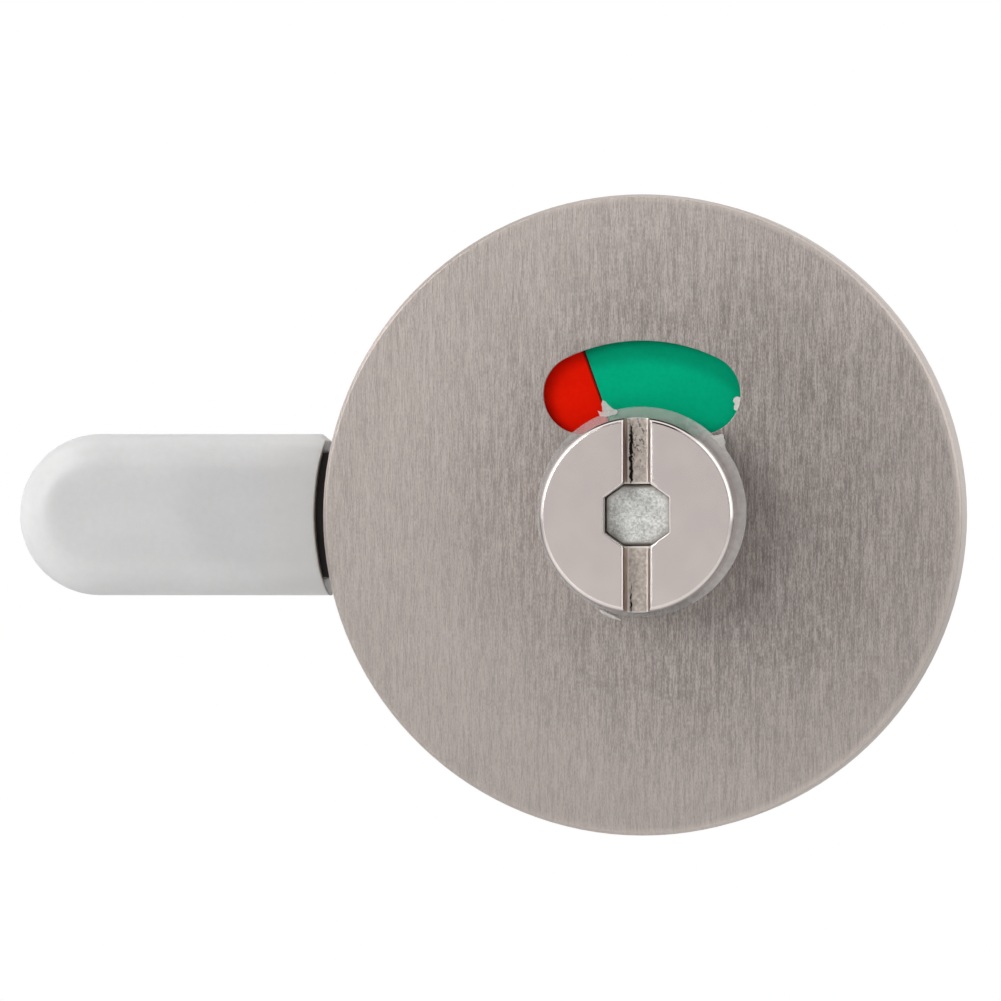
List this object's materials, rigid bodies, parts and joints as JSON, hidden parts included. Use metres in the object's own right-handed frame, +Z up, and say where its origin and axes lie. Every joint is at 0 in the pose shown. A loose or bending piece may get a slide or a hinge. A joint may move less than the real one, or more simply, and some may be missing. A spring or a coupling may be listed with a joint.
{
  "type": "toilet indicator bolt",
  "caption": "Round door rose with a coin slot knob and a red and green window, over an inner rose whose thumbturn slides a bolt with a round-nosed frosted sleeve.",
  "frame": {"origin": "on the spindle's axis, in the plane of the door's outer face", "axes": "+Z up, the outer rose faces -Y, +Y points through the door to the inner side, and the bolt shoots along -X"},
  "size_m": [0.0977, 0.0579, 0.064],
  "materials": {
    "rose_steel": "upright brushed grain",
    "plate_steel": "plain zinc plate",
    "knob_chrome": "bright plated casting",
    "spindle_zinc": "pale rough zinc",
    "fastener_zinc": "zinc plated",
    "spring_steel": "dark oiled",
    "turn_steel": "satin",
    "bolt_black": "black oxide",
    "red_plastic": "fine matt",
    "green_plastic": "fine matt",
    "nylon": "natural",
    "washer_plastic": "milky, translucent",
    "sleeve_plastic": "frosted, translucent"
  },
  "bodies": {
    "housing": {"front_rose": "rose_steel", "front_baseplate": "plate_steel", "spindle_bush": "nylon", "threaded_posts": "fastener_zinc", "inner_baseplate": "plate_steel", "bolt_guides": "nylon", "inner_rose": "rose_steel", "fixing_screws": "fastener_zinc", "cover_screws": "fastener_zinc"},
    "turning_spindle": {"release_knob": "knob_chrome", "knob_washer": "washer_plastic", "indicator_disc": "red_plastic", "indicator_sector": "green_plastic", "wave_washer": "spring_steel", "indicator_circlip": "spring_steel", "spindle": "spindle_zinc", "crank": "plate_steel", "crank_pin": "fastener_zinc", "thumbturn": "turn_steel", "thumbturn_washer": "washer_plastic", "thumbturn_circlip": "spring_steel", "grub_screw": "spring_steel"},
    "sliding_bolt": {"bolt_bar": "bolt_black", "bolt_sleeve": "sleeve_plastic"}
  },
  "joints": [
    {"name": "spindle_turn", "type": "hinge", "parent": "housing", "child": "turning_spindle", "pos_m": [0, 0, 0], "axis": [0, 1, 0], "range_deg": [0, 90]},
    {"name": "bolt_throw", "type": "slide", "parent": "housing", "child": "sliding_bolt", "axis": [-1, 0, 0], "range_m": [0, 0.01485]}
  ],
  "couplings": [
    {"joint": "bolt_throw", "follows": "spindle_turn", "m_per_rad": 0.00945}
  ]
}
